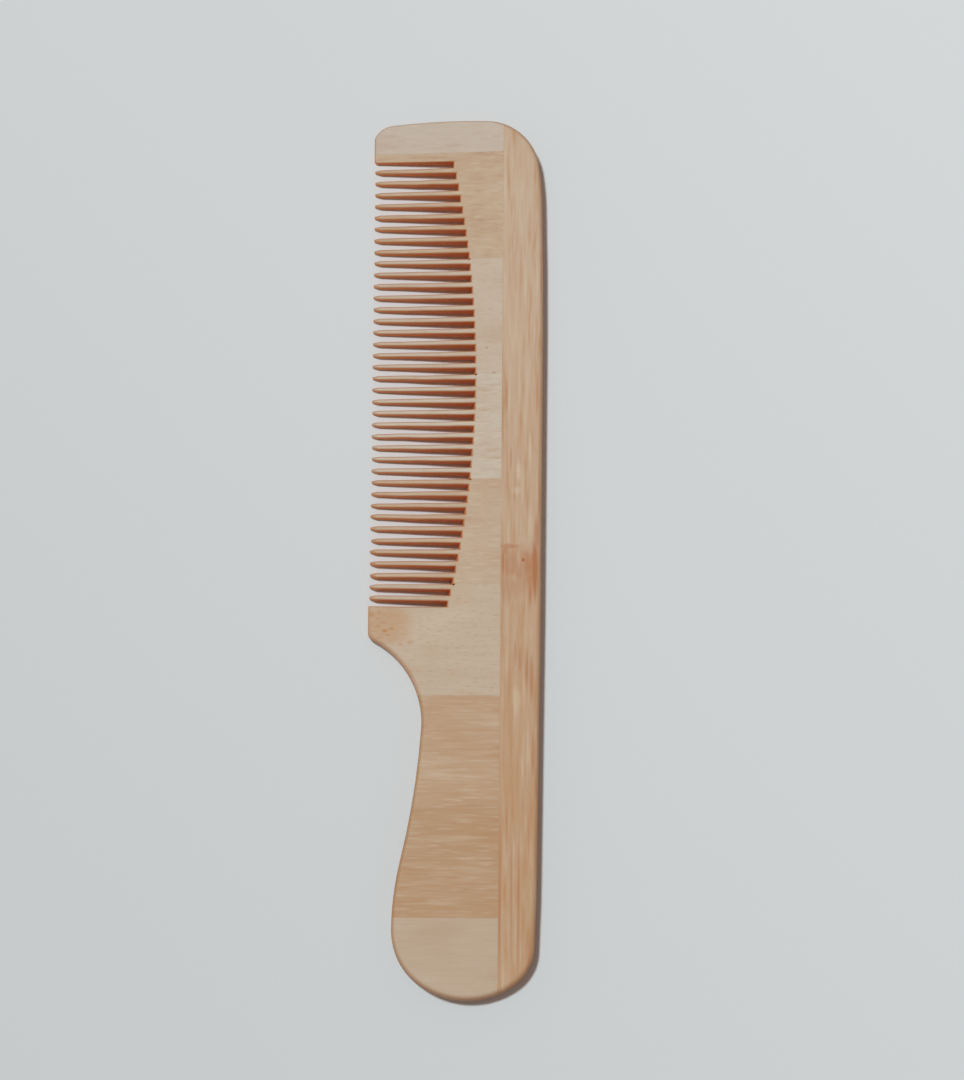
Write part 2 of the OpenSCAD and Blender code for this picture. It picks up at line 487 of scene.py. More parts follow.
@dataclass
class CombPiece:
    """One glued piece of the comb, which takes the place of the solid of the same name.

    rim is the radius of its rounded edges, and seam_close is how far it reaches into the clearance
    at each glue line. The blank is drawn larger than the piece by blank_margin.
    """

    node: str
    shape: CombShape
    rim: float = 1.1
    seam_close: float = 0.02
    bevel_steps: int = 4
    blank_margin: float = 3.0
    on_blade: bool = False
    column_step: float = 2.0
    rim_angle: float = math.radians(60)
    sharp_angle: float = math.radians(40)

    def span(self) -> Pair:
        """Lower and upper end of the piece, from the handle end.

        Returns:
            The two places in millimetres.
        """
        low, high = solid_box(self.node)
        half = self.shape.length / 2
        return low.y / MM + half, high.y / MM + half

    def seams(self) -> list[Seam]:
        """Lines where the piece is glued to its neighbours."""
        raise NotImplementedError

    def late_seams(self) -> list[Seam]:
        """The glue lines that are cut after the rims are rounded."""
        return self.seams()

    def plan(self) -> Draft:
        """Draws the comb's outline, cut off a little beyond the piece.

        Returns:
            The drawing.
        """
        draft = Draft()
        draft.draw_outline()
        for seam in self.late_seams():
            draft.trim(seam.point(self.blank_margin), seam.inward())
        return draft

    def on_seam(self, edge: Edge) -> bool:
        """Whether an edge lies in a glue line."""
        return any(all(seam.meets(vert) for vert in edge.verts) for seam in self.seams())

    def rim_round(self, place: Vector) -> float:
        """Radius that the rim at a place of the drawing is rounded to."""
        return self.rim

    def weigh_rims(self, bm: Form) -> None:
        """Gives each free edge of the upper and lower face the weight of its rounding.

        Args:
            bm: The piece's mesh.
        """
        weight = bm.edges.layers.float.new("bevel_weight_edge")
        for edge in bm.edges:
            a, b = (vert.co for vert in edge.verts)
            flat = abs(a.z - b.z) < SAME_POINT
            if flat and edge.calc_face_angle(0.0) >= self.rim_angle and not self.on_seam(edge):
                edge[weight] = self.rim_round((a + b) / 2) / self.shape.edge_round

    def cut(self, bm: Form) -> None:
        """Cuts the rounded blank off at its glue lines, and closes each cut with one face.

        Args:
            bm: The piece's mesh.
        """
        for seam in self.late_seams():
            cut = slice_mesh(bm, seam.point(), seam.inward(), clear=True)
            bmesh.ops.contextual_create(bm, geom=made(Edge, cut))

    def refine(self, bm: Form) -> None:
        """Divides the faces of a piece of the blade into columns, which are bent later.

        Args:
            bm: The piece's mesh.
        """
        if self.on_blade:
            for x in steps(self.shape.left_x, self.shape.seam_x, self.column_step):
                slice_mesh(bm, Axis.X.way * x, Axis.X.way)

    def rim_share(self, place: Vector, upper: float) -> float:
        """How much of its height the rounding keeps at a place, less where the comb is thin."""
        return min(1.0, self.shape.thin_edge_share * upper / self.rim)

    def reshape(self, place: Vector) -> Vector:
        """Moves one point of the rounded blank to where the finished comb has it.

        Args:
            place: The point on the blank.

        Returns:
            The point on the comb.
        """
        upper = self.shape.upper_z(place.x, place.y)
        share = self.rim_share(place, upper)
        if place.z > self.shape.thickness / 2:
            place.z = upper - (self.shape.thickness - place.z) * share
        else:
            place.z *= share
        return place

    def round_rims(self, obj: bpy.types.Object) -> bpy.types.Mesh:
        """Rounds the weighted edges of a raised blank.

        Args:
            obj: The blank.

        Returns:
            The rounded mesh.
        """
        bevel = obj.modifiers.new("rims", "BEVEL")
        bevel.limit_method = "WEIGHT"
        bevel.width = self.shape.edge_round
        bevel.segments = self.bevel_steps
        bevel.profile = ROUND_PROFILE
        bevel.use_clamp_overlap = False
        seen = obj.evaluated_get(bpy.context.evaluated_depsgraph_get())
        mesh = bpy.data.meshes.new_from_object(seen)
        obj.modifiers.clear()
        return mesh

    def build(self) -> bpy.types.Object:
        """Draws, raises, rounds and shapes the piece.

        Returns:
            The finished object, in metres in the frame of the solids.
        """
        draft = self.plan()
        draft.raise_to(self.shape.thickness)
        self.weigh_rims(draft.bm)
        blank = bpy.data.meshes.new(self.node + "_blank")
        draft.bm.to_mesh(blank)
        draft.bm.free()
        obj = add_object(self.node + "_wood", blank)
        mesh = self.round_rims(obj)
        obj.data = mesh
        bpy.data.meshes.remove(blank)
        rounded = bmesh.new()
        rounded.from_mesh(mesh)
        self.cut(rounded)
        self.refine(rounded)
        bmesh.ops.recalc_face_normals(rounded, faces=rounded.faces[:])
        rounded.to_mesh(mesh)
        rounded.free()
        for vert in mesh.vertices:
            place = self.reshape(vert.co.copy())
            place.y -= self.shape.length / 2
            vert.co = place * MM
        mesh.name = obj.name
        mesh.shade_smooth()
        mesh.set_sharp_from_angle(angle=self.sharp_angle)
        normals = obj.modifiers.new("flat faces", "WEIGHTED_NORMAL")
        normals.keep_sharp = True
        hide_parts(self.node)
        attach(obj, "root")
        return obj


@dataclass
class Spine(CombPiece):
    """The full-length strip that all the staves are glued to."""

    def seams(self) -> list[Seam]:
        """The long glue line on its left."""
        return [Seam(Axis.X, self.shape.seam_x - self.seam_close, 1)]


@dataclass
class PlainStave(CombPiece):
    """A cross-grain stave with no teeth: the guard, the grip and the handle's end."""

    open_low: bool = False
    open_high: bool = False

    def edge_x(self) -> float:
        """Right edge of the stave, on the spine's glue line."""
        return solid_box(self.node)[1].x / MM + self.seam_close

    def seams(self) -> list[Seam]:
        """The spine's glue line and those of its neighbours.

        Returns:
            The lines.
        """
        low, high = self.span()
        lines = [Seam(Axis.X, self.edge_x(), -1)]
        if not self.open_low:
            lines.append(Seam(Axis.Y, low - self.seam_close, 1))
        if not self.open_high:
            lines.append(Seam(Axis.Y, high + self.seam_close, -1))
        return lines


@dataclass
class GuardStave(PlainStave):
    """The stave at the top, whose small rim grows to the spine's where the two meet."""

    rim: float = 0.5
    on_blade: bool = True
    open_high: bool = True
    corner: int = 6
    rim_reach: float = 1.2

    def reshape(self, place: Vector) -> Vector:
        """Widens and deepens the rim toward the spine, then shapes the point like any other.

        Args:
            place: The point on the blank.

        Returns:
            The point on the comb.
        """
        bow, end = OUTLINE[self.corner], OUTLINE[self.corner + 1]
        centre, radius, _ = arc_of(bow.point(), end.point(), bow.rise)
        arm = (place - centre).to_2d()
        inside = radius - arm.length
        nearness = within((place.x - end.x) / (self.edge_x() - end.x))
        growth = (self.shape.edge_round / self.rim - 1) * nearness
        if inside < self.rim * self.rim_reach:
            place.y -= inside * growth * arm.length / arm.y
            if place.z > self.shape.thickness / 2:
                place.z -= (self.shape.thickness - place.z) * growth
            else:
                place.z += place.z * growth
        return super().reshape(place)


@dataclass
class Tooth:
    """Course of one tooth from its root to its point."""

    middle: float
    lean: float
    tip_x: float


@dataclass
class ToothedStave(PlainStave):
    """A cross-grain stave with teeth cut in it.

    first and last are its slots. stations are the places of a tooth's sections, as shares of its
    length, and tip_stations those near its end, in millimetres from it.
    """

    on_blade: bool = True
    first: int = 0
    last: int = 0
    stations: tuple[float, ...] = (0.12, 0.3, 0.5, 0.7, 0.86)
    tip_stations: tuple[float, ...] = (1.3, 0.9, 0.5, 0.0)
    strip_round: float = 0.28
    slot_round: float = 0.42
    strip_low: float = 1.0
    corner_round: float = 0.6
    corner_steps: int = 4
    collar: float = 0.6
    wall_lean_high: float = 0.15
    wall_lean_low: float = 0.45
    wall_reach: float = 0.3
    lean_spread: float = 0.06
    thinning_spread: float = 0.04
    tip_spread: float = 0.08
    wander: float = 0.025
    point_fullness: float = 0.7
    point_width: float = 0.4
    point_depth: float = 0.35
    point_height: float = 0.4
    point_rise: float = 0.08
    rule_step: float = 1.0
    teeth: list[Tooth] = field(default_factory=list)
    rng: random.Random = field(default_factory=random.Random)

    def span(self) -> Pair:
        """Lower end of the piece and its upper glue line, which its highest tooth may pass.

        Returns:
            The two places in millimetres.
        """
        low, high = super().span()
        if self.first > 0:
            high = self.shape.wall_y(self.first - 1) - self.shape.glue_gap / 2
        return low, high

    @property
    def is_neck(self) -> bool:
        """Whether the stave ends the row of teeth and goes over into the grip."""
        return self.last == self.shape.tooth_count

    def rim_round(self, place: Vector) -> float:
        """Small radii at the teeth and the guard's strip, and the full one below the teeth.

        Args:
            place: The place.

        Returns:
            The radius.
        """
        if place.y < self.shape.field_bottom - JUST_PAST:
            return self.rim
        on_strip = place.y > self.shape.field_top - self.strip_low
        return self.strip_round if on_strip else self.slot_round

    def rim_share(self, place: Vector, upper: float) -> float:
        """Keeps the small roundings of the teeth whole."""
        below = place.y < self.shape.field_bottom + JUST_PAST
        return super().rim_share(place, upper) if below else 1.0

    def late_seams(self) -> list[Seam]:
        """The neck's lower glue line, which meets a slanting rim.

        Returns:
            That line alone, or none for the other staves.
        """
        if not self.is_neck:
            return []
        return [seam for seam in self.seams() if seam.axis is Axis.Y and seam.side == 1]

    def root_points(self) -> list[tuple[Vector, Interval]]:
        """Line of the tooth roots from the top down, each point with what follows it.

        Returns:
            The points, with what lies to the left below each.
        """
        shape = self.shape
        low, high = self.span()
        top, bottom = high + self.seam_close, low - self.seam_close
        above = max(0, self.first - 1)
        follows = Interval.BLOCK if self.first == 0 else Interval.TOOTH
        points = [(Vector((shape.root_x(shape.slot_y(above)), top, 0)), follows)]
        for k in range(self.first, self.last + 1):
            x = shape.root_x(shape.slot_y(k))
            lower = shape.wall_y(k)
            if k == shape.tooth_count:
                lower = shape.field_bottom
            elif k == self.last:
                lower = bottom
            points.append((Vector((x, shape.wall_y(k, 1), 0)), Interval.SLOT))
            points.append((Vector((x, lower, 0)), Interval.TOOTH))
        return points

    def grow_tooth(self, draft: Draft, root: Edge, k: int) -> None:
        """Extrudes a tooth from its root to its point.

        Args:
            draft: The stave's drawing.
            root: Edge that the tooth grows from.
            k: Number of the slot above the tooth.
        """
        shape = self.shape
        middle = shape.slot_y(k) - shape.pitch / 2
        lean = self.rng.gauss(0.0, self.lean_spread)
        thinning = self.rng.gauss(1.0, self.thinning_spread)
        retreat = abs(self.rng.gauss(0.0, self.tip_spread))
        tip_x = shape.guard_x(middle) + shape.point_setback + retreat
        self.teeth.append(Tooth(middle, lean, tip_x))
        root_width = shape.pitch - shape.root_slot
        mouth_width = (shape.pitch - shape.mouth_slot) * thinning
        reach = sum(vert.co.x for vert in root.verts) / 2 - tip_x
        for station in (*self.stations, *(1 - left / reach for left in self.tip_stations)):
            x = tip_x + reach * (1 - station)
            width = root_width + (mouth_width - root_width) * station
            wander = self.rng.gauss(0.0, self.wander) if station < self.stations[-1] else 0.0
            root = draft.stretch(root, x, middle + lean * station + wander, width)

    def grow_guard(self, draft: Draft, root: Edge) -> None:
        """Extrudes the guard's strip under its glue line, with its lower corner rounded.

        Args:
            draft: The stave's drawing.
            root: Edge that the strip grows from.
        """
        high = max(vert.co.y for vert in root.verts)
        middle = (high + self.shape.field_top) / 2
        left = self.shape.guard_x(middle)
        end = draft.stretch(root, left, middle, high - self.shape.field_top)
        for vert in end.verts:
            vert.co.x = self.shape.guard_x(vert.co.y)
        corner = min(end.verts, key=lambda vert: vert.co.y)
        bmesh.ops.bevel(
            draft.bm, geom=[corner], affect="VERTICES", offset=self.corner_round,
            segments=self.corner_steps, profile=ROUND_PROFILE, material=-1)

    def plan(self) -> Draft:
        """Draws the back of the stave from the line of the roots, and grows the teeth from it.

        Returns:
            The drawing.
        """
        draft = super().plan() if self.is_neck else Draft()
        if self.is_neck:
            for axis, place in ((Axis.X, self.edge_x()), (Axis.Y, self.shape.field_bottom)):
                draft.trim(axis.way * place, -axis.way)
        points = self.root_points()
        tip = bmesh.ops.create_vert(draft.bm, co=points[0][0])["vert"][0]
        edges = []
        for place, _ in points[1:]:
            before = tip
            tip = draft.draw_to(tip, place)
            edges.append(draft.bm.edges.get((before, tip)))
        draft.widen(edges, self.collar, self.edge_x())
        slot_above = self.first - 1
        for edge, (_, follows) in zip(edges, points):
            if follows is Interval.TOOTH:
                self.grow_tooth(draft, edge, slot_above)
            elif follows is Interval.BLOCK:
                self.grow_guard(draft, edge)
            else:
                slot_above += 1
        if self.is_neck:
            draft.merge()
            for step in (0.0, self.collar):
                draft.rule_below(self.shape.field_bottom, points[-1][0].x + step)
            draft.merge()
        draft.open_corners([place for place, _ in points])
        bmesh.ops.recalc_face_normals(draft.bm, faces=draft.bm.faces[:])
        return draft

    def refine(self, bm: Form) -> None:
        """Divides the faces into columns, and the neck's finely enough for the run-out.

        Args:
            bm: The piece's mesh.
        """
        super().refine(bm)
        if not self.is_neck:
            return
        low, _ = self.span()
        bottom = self.shape.field_bottom
        rows = steps(bottom, low, -self.rule_step)
        columns = steps(self.shape.left_x, self.edge_x(), self.rule_step)
        for axis, places in ((Axis.Y, rows), (Axis.X, columns)):
            for place in places:
                below = [f for f in bm.faces if min(v.co.y for v in f.verts) < bottom - JUST_PAST]
                slice_mesh(bm, axis.way * place, axis.way, below)

    def reshape(self, place: Vector) -> Vector:
        """Leans the slots' end walls, shapes the teeth's points and fans the slots.

        Args:
            place: The point on the blank.

        Returns:
            The point on the comb.
        """
        shape = self.shape
        slot = within(round((shape.slot_y(0) - place.y) / shape.pitch), 0, shape.tooth_count)
        lift = shape.fan_shift(place.x, place.y)
        if abs(place.x - shape.root_x(shape.slot_y(slot))) < self.wall_reach:
            more = (self.wall_lean_low - self.wall_lean_high) * slot / shape.tooth_count
            place.x -= (self.wall_lean_high + more) * (1 - place.z / shape.thickness)
        point = next((tooth for tooth in self.teeth if self.is_point(place, tooth)), None)
        if point is None:
            place = super().reshape(place)
        else:
            place = self.reshape_point(place, point)
        place.y += lift
        return place

    def is_point(self, place: Vector, tooth: Tooth) -> bool:
        """Whether a place belongs to the point of a tooth."""
        near = abs(place.y - tooth.middle - tooth.lean) < self.shape.pitch / 2
        return near and place.x < tooth.tip_x + self.shape.point_length

    def reshape_point(self, place: Vector, tooth: Tooth) -> Vector:
        """Narrows and thins a tooth toward its point.

        Args:
            place: A point of the tooth.
            tooth: The tooth.

        Returns:
            Where the finished comb has it.
        """
        back = (place.x - tooth.tip_x) / self.shape.point_length
        share = within(back) ** self.point_fullness
        axis = tooth.middle + tooth.lean
        width = self.point_width + (1 - self.point_width) * share
        place.y = axis + (place.y - axis) * width + self.point_rise * (1 - share)
        height = self.shape.upper_z(place.x, place.y) * self.point_height
        depth = self.point_depth + (1 - self.point_depth) * share
        shaped = super().reshape(place)
        shaped.z = height + (shaped.z - height) * depth
        return shaped


class Graph:
    """Short calls for building a node tree."""

    def __init__(self, tree: Tree) -> None:
        """Starts on a tree."""
        self.tree = tree

    def put(self, value: object, socket: Socket) -> None:
        """Links an output to a socket, or sets the socket to a plain value.

        Args:
            value: The output or the value.
            socket: The socket.
        """
        if isinstance(value, Socket):
            self.tree.links.new(value, socket)
        else:
            socket.default_value = value

    def fill(self, sockets: Sockets, values: dict[str, object]) -> None:
        """Puts values to sockets by name."""
        for name, value in values.items():
            self.put(value, sockets[name])

    def add(self, kind: str, *values: object, named: dict[str, object] | None = None,
            **settings: object) -> bpy.types.Node:
        """Adds a shader node.

        Args:
            kind: Kind of node.
            *values: What goes to its inputs, in their order.
            named: What goes to its inputs by name.
            **settings: Its settings.

        Returns:
            The node.
        """
        node = self.tree.nodes.new("ShaderNode" + kind)
        for name, value in settings.items():
            setattr(node, name, value)
        for value, socket in zip(values, node.inputs):
            self.put(value, socket)
        self.fill(node.inputs, named or {})
        return node

    def math(self, operation: str, *values: object) -> Socket:
        """Adds a math node and gives its result."""
        return self.add("Math", *values, operation=operation).outputs[0]

    def times(self, first: object, second: object) -> Socket:
        """Multiplies two numbers."""
        return self.math("MULTIPLY", first, second)

    def vector(self, operation: str, *values: object) -> Socket:
        """Adds a vector math node and gives its result."""
        node = self.add("VectorMath", *values, operation=operation)
        return node.outputs["Value" if operation in ("LENGTH", "DOT_PRODUCT") else "Vector"]

    def mix(self, share: object, first: object, second: object) -> Socket:
        """Mixes two colours by a share.

        Args:
            share: Share of the second.
            first: First colour.
            second: Second colour.

        Returns:
            The mixed colour.
        """
        node = self.add("Mix", share, data_type="RGBA")
        for value, socket in zip((first, second), (s for s in node.inputs if s.type == "RGBA")):
            self.put(value, socket)
        return next(socket for socket in node.outputs if socket.type == "RGBA")

    def ramp(self, value: object, low: object, high: object, start: object = 0.0,
             end: object = 1.0, smooth: bool = True) -> Socket:
        """Maps a value from one range to another.

        Args:
            value: The value.
            low: Where its range starts.
            high: Where its range ends.
            start: Result at the range's start.
            end: Result at its end.
            smooth: Whether the ends are eased.

        Returns:
            The mapped value.
        """
        kind = "SMOOTHSTEP" if smooth else "LINEAR"
        return self.add(
            "MapRange", value, low, high, start, end, interpolation_type=kind).outputs[0]

    def noise(self, place: object, detail: float, roughness: float = 0.5) -> Socket:
        """Adds plain noise of unit size.

        Args:
            place: Place in the noise.
            detail: Number of finer layers.
            roughness: How strong they are.

        Returns:
            The noise, from 0 to 1.
        """
        return self.add("TexNoise", noise_dimensions="3D", named={
            "Vector": place, "Scale": 1.0, "Detail": detail, "Roughness": roughness,
        }).outputs["Fac"]


def linear(colour: Colour, level: float = 1.0) -> tuple[float, ...]:
    """Turns a screen colour of 0 to 255 into the light it stands for.

    Args:
        colour: Red, green and blue as a screen shows them.
        level: Light that falls on the surface, by which the colour is divided.

    Returns:
        The linear colour with an alpha of 1.
    """
    def one(c: float) -> float:
        c /= 255.0
        return (c / 12.92 if c <= 0.04045 else ((c + 0.055) / 1.055) ** 2.4) / level
    return (*(one(c) for c in colour), 1.0)


def start_material(name: str) -> tuple[bpy.types.Material, Graph, Sockets]:
    """Starts a material.

    Args:
        name: Name of the material.

    Returns:
        The material, its graph and the shader's inputs.
    """
    material = bpy.data.materials.new(name)
    material.use_nodes = True
    tree = material.node_tree
    return material, Graph(tree), tree.nodes["Principled BSDF"].inputs


@dataclass(frozen=True)
class StudioLight:
    """Soft light from the upper left over a pale floor, and the level that it gives."""

    sun_strength: float = 2.09
    sun_spread: float = math.radians(6.0)
    sun_colour: Colour = (0.893, 1.0, 1.043)
    lean_x: float = -0.22
    lean_y: float = 0.17
    sky_strength: float = 0.23
    sky_colour: Colour = (1.3, 1.0, 0.88)
    backdrop: Colour = (203, 207, 208)
    level: float = 0.87

    def build(self) -> None:
        """Adds the lamp, and a sky that shows as a pale backdrop."""
        lamp = bpy.data.lights.new("window", "SUN")
        lamp.energy = self.sun_strength
        lamp.angle = self.sun_spread
        lamp.color = self.sun_colour
        toward = Vector((self.lean_x, self.lean_y, 1.0))
        add_object("window", lamp).rotation_euler = toward.to_track_quat("Z", "Y").to_euler()
        world = bpy.data.worlds.new("sky")
        world.use_nodes = True
        graph = Graph(world.node_tree)
        seen = graph.add("LightPath").outputs["Is Camera Ray"]
        glow = (*(part * self.sky_strength for part in self.sky_colour), 1.0)
        shown = graph.mix(seen, glow, linear(self.backdrop))
        graph.put(shown, world.node_tree.nodes["Background"].inputs["Color"])
        bpy.context.scene.world = world
        bpy.context.scene.view_settings.view_transform = "Standard"


@dataclass(frozen=True)
class Floor:
    """A pale surface that the comb lies on, with a painted falloff of light, brighter toward the
    upper right and dimmer toward the lower left.
    """

    half_size: float = 1.5
    drop: float = 0.00002
    # Painted light: the two ends of the floor's painted falloff, its way across the floor and its
    # reach
    painted_lit_colour: Colour = (212, 215, 216)
    painted_dim_colour: Colour = (197, 201, 202)
    painted_falloff_way: Triple = (0.72, 0.69, 0.0)
    painted_falloff_reach: float = 0.15
    roughness: float = 0.9
    shine: float = 0.1

    def build(self, light: StudioLight) -> bpy.types.Object:
        """Makes the surface a hair under the comb.

        Args:
            light: The light that its colours are meant for.

        Returns:
            The floor.
        """
        bm = bmesh.new()
        bmesh.ops.create_grid(bm, x_segments=1, y_segments=1, size=self.half_size)
        bmesh.ops.translate(bm, verts=bm.verts[:], vec=-UP * self.drop)
        mesh = bpy.data.meshes.new("floor")
        bm.to_mesh(mesh)
        bm.free()
        obj = add_object("floor", mesh)
        material, graph, shader = start_material("floor")
        place = graph.add("TexCoord").outputs["Object"]
        # Painted falloff of light across the floor: brighter toward the upper right, dimmer toward
        # the lower left
        share = graph.ramp(graph.vector("DOT_PRODUCT", place, self.painted_falloff_way),
                           -self.painted_falloff_reach, self.painted_falloff_reach, smooth=False)
        ends = (linear(colour, light.level) for colour in (self.painted_dim_colour, self.painted_lit_colour))
        graph.fill(shader, {
            "Base Color": graph.mix(share, *ends), "Roughness": self.roughness,
            "Specular IOR Level": self.shine})
        mesh.materials.append(material)
        return obj


@dataclass(frozen=True)
class PhotoCamera:
    """Camera over the comb, leaning a little toward the handle, for a frame of 964 by 1080."""

    distance: float = 1.1
    tilt: float = math.radians(9.3)
    roll: float = math.radians(0.46)
    target_x: float = 0.00553
    target_y: float = 0.0037
    pixels_per_mm: float = 4.7935
    frame_height: float = 1080.0
    sensor: float = 36.0

    def build(self) -> bpy.types.Object:
        """Adds the camera and makes it the scene's own.

        Returns:
            The camera.
        """
        data = bpy.data.cameras.new("camera")
        data.sensor_width = self.sensor
        data.lens = self.sensor * self.pixels_per_mm * self.distance / MM / self.frame_height
        obj = add_object("camera", data)
        forward = Vector((0, math.sin(self.tilt), -math.cos(self.tilt)))
        up = Vector((0, math.cos(self.tilt), math.sin(self.tilt)))
        right = Axis.X.way
        turned_right = right * math.cos(self.roll) + up * math.sin(self.roll)
        turned_up = up * math.cos(self.roll) - right * math.sin(self.roll)
        place = Vector((self.target_x, self.target_y, 0)) - forward * self.distance
        axes = Matrix((turned_right, turned_up, -forward)).transposed()
        obj.matrix_world = Matrix.Translation(place) @ axes.to_4x4()
        bpy.context.scene.camera = obj
        return obj


def start_group(name: str, inputs: dict[str, float | None],
                outputs: list[str]) -> tuple[Graph, Sockets, Sockets]:
    """Starts a node group with named sockets.

    Args:
        name: Name of the group.
        inputs: For each input its starting value, or None for a place.
        outputs: Names of the outputs, all of them plain numbers.

    Returns:
        The group's graph, its input sockets and its output sockets by name.
    """
    tree = bpy.data.node_groups.new(name, "ShaderNodeTree")
    for label, value in inputs.items():
        kind = "NodeSocketVector" if value is None else "NodeSocketFloat"
        socket = tree.interface.new_socket(label, in_out="INPUT", socket_type=kind)
        if value is not None:
            socket.default_value = value
    for label in outputs:
        tree.interface.new_socket(label, in_out="OUTPUT", socket_type="NodeSocketFloat")
    entry, leave = tree.nodes.new("NodeGroupInput"), tree.nodes.new("NodeGroupOutput")
    return Graph(tree), entry.outputs, leave.inputs


@dataclass(frozen=True)
class FibreGroup:
    """Streaks along the fibres, for a pattern in millimetres whose fibres run along X."""

    name: str = "fibres"
    sway: float = 0.7
    sway_scale: Triple = (0.045, 0.11, 0.11)

    def build(self) -> Tree:
        """Builds the group: fine lines, wider streaks and slow clouds, each about a half.

        Returns:
            The group.
        """
        graph, take, give = start_group(self.name, {"Place": None}, ["Fine", "Streak", "Cloud"])
        place = take["Place"]
        sway = graph.noise(graph.vector("MULTIPLY", place, self.sway_scale), 1.0)
        shift = graph.times(graph.math("SUBTRACT", sway, 0.5), self.sway)
        swayed = graph.vector("ADD", place, graph.add("CombineXYZ", 0.0, shift).outputs[0])
        kinds = {
            "Fine": ((0.16, 3.4, 3.4), 3.0, 0.6),
            "Streak": ((0.09, 1.15, 1.15), 2.0, 0.5),
            "Cloud": ((0.05, 0.16, 0.16), 1.0, 0.5),
        }
        for label, (scale, detail, roughness) in kinds.items():
            scaled = graph.vector("MULTIPLY", swayed, scale)
            graph.put(graph.noise(scaled, detail, roughness), give[label])
        return graph.tree


DASHES = {"Cell Length": 5.2, "Cell Height": 0.8, "Dash Length": 5.6, "Dash Height": 0.4}
FLECKS = {"Cell Length": 1.9, "Cell Height": 0.85, "Dash Length": 1.6, "Dash Height": 0.36}


@dataclass(frozen=True)
class DashGroup:
    """Short dashes scattered along the fibres, where the wood's vessels were cut open."""

    name: str = "dashes"
    scatter: float = 0.85
    lengths: Pair = (0.2, 0.6)
    heights: Pair = (0.5, 0.9)
    strengths: Pair = (0.15, 0.9)
    core: float = 0.1

    def build(self) -> Tree:
        """Builds the group: a mask of dashes of about one size, of random length and strength.

        Returns:
            The group.
        """
        graph, take, give = start_group(self.name, {"Place": None, **DASHES}, ["Mask"])
        cell = graph.add("CombineXYZ", take["Cell Length"], take["Cell Height"], 1.0).outputs[0]
        flat = graph.vector("MULTIPLY", take["Place"], (1, 1, 0))
        scaled = graph.vector("DIVIDE", flat, cell)
        cells = graph.add("TexVoronoi", voronoi_dimensions="2D", feature="F1", named={
            "Vector": scaled, "Scale": 1.0, "Randomness": self.scatter}).outputs
        away = graph.vector("SUBTRACT", scaled, cells["Position"])
        away = graph.vector("ABSOLUTE", graph.vector("MULTIPLY", away, cell))
        parts = graph.add("SeparateXYZ", away).outputs
        long, high, strong = graph.add("SeparateColor", cells["Color"]).outputs
        half = graph.times(take["Dash Length"], graph.ramp(long, 0, 1, *self.lengths, False))
        tall = graph.times(take["Dash Height"], graph.ramp(high, 0, 1, *self.heights, False))
        along = graph.ramp(parts["X"], graph.times(half, self.core), half, 1.0, 0.0)
        across = graph.ramp(parts["Y"], 0.0, tall, 1.0, 0.0)
        strength = graph.ramp(strong, *self.strengths, smooth=False)
        graph.put(graph.times(graph.times(along, across), strength), give["Mask"])
        return graph.tree


@dataclass(frozen=True)
class SideGroup:
    """Where a surface turns away from the flat faces, and where it faces along the comb: the masks
    through which the finishes lay tints that are partly painted shade and glow.
    """

    name: str = "sides"
    rim_turn: Pair = (0.995, 0.7)
    wall_turn: Pair = (0.75, 0.2)

    def build(self) -> Tree:
        """Builds the group: Rim from the start of the rounding, Wall only on upright faces.

        Returns:
            The group.
        """
        graph, _, give = start_group(self.name, {}, ["Rim", "Wall"])
        turn = graph.add("SeparateXYZ", graph.add("NewGeometry").outputs["Normal"])
        upright = graph.math("ABSOLUTE", turn.outputs["Z"])
        graph.fill(give, {
            "Rim": graph.ramp(upright, *self.rim_turn),
            "Wall": graph.ramp(upright, *self.wall_turn)})
        return graph.tree


@dataclass(frozen=True)
class Mark:
    """One stain of the bamboo: an oval along the fibres with a soft, ragged edge.

    It goes down to any_depth, so that the height of a place hardly counts.
    """

    x: float
    y: float
    half_width: float
    half_length: float
    strength: float
    dark: bool = True
    any_depth: float = 1e6
    raggedness: float = 0.9
    fade: Pair = (1.5, 0.75)

    def mask(self, graph: Graph, place: Socket, rough: Socket) -> Socket:
        """Draws the stain.

        Args:
            graph: The material's graph.
            place: Place on the comb in millimetres.
            rough: Streaks that break up the stain's edge.

        Returns:
            The stain's mask, from 0 to its strength.
        """
        away = graph.vector(
            "DIVIDE", graph.vector("SUBTRACT", place, (self.x, self.y, 0)),
            (self.half_width, self.half_length, self.any_depth))
        far = graph.math("ADD", graph.vector("LENGTH", away), graph.times(rough, self.raggedness))
        return graph.ramp(far, *self.fade, 0.0, self.strength)


